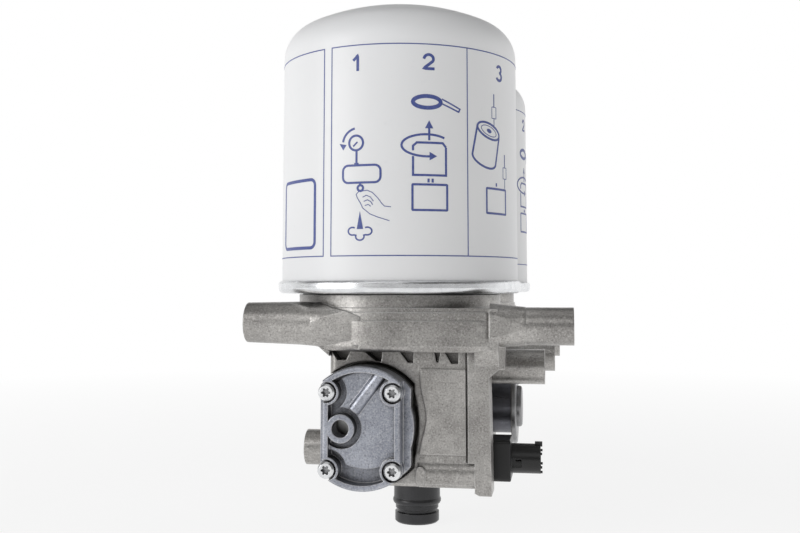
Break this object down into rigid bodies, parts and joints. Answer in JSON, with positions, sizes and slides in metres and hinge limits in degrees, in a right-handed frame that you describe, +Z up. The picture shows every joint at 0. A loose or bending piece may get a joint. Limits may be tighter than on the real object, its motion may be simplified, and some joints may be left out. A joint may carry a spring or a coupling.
{
  "type": "air dryer",
  "caption": "Compressed-air dryer: upright white spin-on desiccant cartridges on a die-cast valve block with mounting tube, ports, valve cover, regulator, solenoid and exhaust.",
  "frame": {"origin": "on the axis of the front mounting tube, at the middle plane of the cartridges", "axes": "+X along the mounting tube towards the ports, +Y from the valve cover towards the rear cartridge, +Z up along the cartridges"},
  "size_m": [0.1752, 0.303, 0.3016],
  "materials": {
    "canister_paint": "satin white-grey enamel",
    "bright_zinc": "bright zinc plate",
    "sheet_steel": "plain steel",
    "spring_steel": "drawn spring wire",
    "black_rubber": "matte rubber",
    "felt": "pressed felt",
    "desiccant": "packed beads",
    "cast_housing": "raw die casting",
    "cast_cover": "raw die casting",
    "turned_aluminium": "turned",
    "brass": "turned brass",
    "copper_wire": "enamelled winding",
    "charcoal_plastic": "moulded, fine grain",
    "black_plastic": "moulded, satin"
  },
  "bodies": {
    "dryer": {"front_cartridge_shell": "canister_paint", "rear_cartridge_shell": "canister_paint", "front_seam_lid": "bright_zinc", "rear_seam_lid": "bright_zinc", "cover_screws": "bright_zinc", "front_base_plate": "sheet_steel", "rear_base_plate": "sheet_steel", "front_desiccant_cup": "sheet_steel", "rear_desiccant_cup": "sheet_steel", "front_bed_cap": "sheet_steel", "rear_bed_cap": "sheet_steel", "front_threaded_spigot": "sheet_steel", "rear_threaded_spigot": "sheet_steel", "solenoid_core": "sheet_steel", "shuttle_plug": "sheet_steel", "front_bed_spring": "spring_steel", "rear_bed_spring": "spring_steel", "front_check_spring": "spring_steel", "rear_check_spring": "spring_steel", "control_spring": "spring_steel", "purge_spring": "spring_steel", "regulator_spring": "spring_steel", "armature_spring": "spring_steel", "front_seal_ring": "black_rubber", "rear_seal_ring": "black_rubber", "cover_gasket": "black_rubber", "front_lower_filter": "felt", "rear_lower_filter": "felt", "front_upper_filter": "felt", "rear_upper_filter": "felt", "front_desiccant_bed": "desiccant", "rear_desiccant_bed": "desiccant", "housing": "cast_housing", "valve_cover": "cast_cover", "regulator_sleeve": "turned_aluminium", "regulator_plug": "turned_aluminium", "purge_seat": "brass", "connector_pins": "brass", "solenoid_winding": "copper_wire", "exhaust_fitting": "charcoal_plastic", "solenoid_body": "black_plastic"},
    "control_piston": {"control_piston": "turned_aluminium", "control_seal": "black_rubber"},
    "purge_valve": {"purge_piston": "turned_aluminium", "purge_valve": "brass"},
    "regulator_piston": {"regulator_piston": "turned_aluminium"},
    "solenoid_armature": {"solenoid_armature": "sheet_steel"},
    "front_check_valve": {"front_check_valve": "turned_aluminium"},
    "rear_check_valve": {"rear_check_valve": "turned_aluminium"},
    "shuttle_valve": {"shuttle_valve": "turned_aluminium"}
  },
  "joints": [
    {"name": "control_piston_slide", "type": "slide", "parent": "dryer", "child": "control_piston", "axis": [0, 1, 0], "range_m": [0, 0.003], "stiffness_N_per_m": 1500, "springref_m": -0.004, "deforming": ["control_spring"]},
    {"name": "purge_valve_slide", "type": "slide", "parent": "dryer", "child": "purge_valve", "axis": [0, 0, -1], "range_m": [0, 0.003], "stiffness_N_per_m": 2000, "springref_m": -0.004, "deforming": ["purge_spring"]},
    {"name": "regulator_slide", "type": "slide", "parent": "dryer", "child": "regulator_piston", "axis": [1, 0, 0], "range_m": [0, 0.0015], "stiffness_N_per_m": 5000, "springref_m": -0.002, "deforming": ["regulator_spring"]},
    {"name": "armature_slide", "type": "slide", "parent": "dryer", "child": "solenoid_armature", "axis": [1, 0, 0], "range_m": [0, 0.0012], "stiffness_N_per_m": 400, "springref_m": -0.002, "deforming": ["armature_spring"]},
    {"name": "front_check_slide", "type": "slide", "parent": "dryer", "child": "front_check_valve", "axis": [0, 0, -1], "range_m": [0, 0.0025], "stiffness_N_per_m": 300, "springref_m": -0.004, "deforming": ["front_check_spring"]},
    {"name": "rear_check_slide", "type": "slide", "parent": "dryer", "child": "rear_check_valve", "axis": [0, 0, -1], "range_m": [0, 0.0025], "stiffness_N_per_m": 300, "springref_m": -0.004, "deforming": ["rear_check_spring"]},
    {"name": "shuttle_slide", "type": "slide", "parent": "dryer", "child": "shuttle_valve", "axis": [0, 1, 0], "range_m": [-0.003, 0.003]}
  ]
}
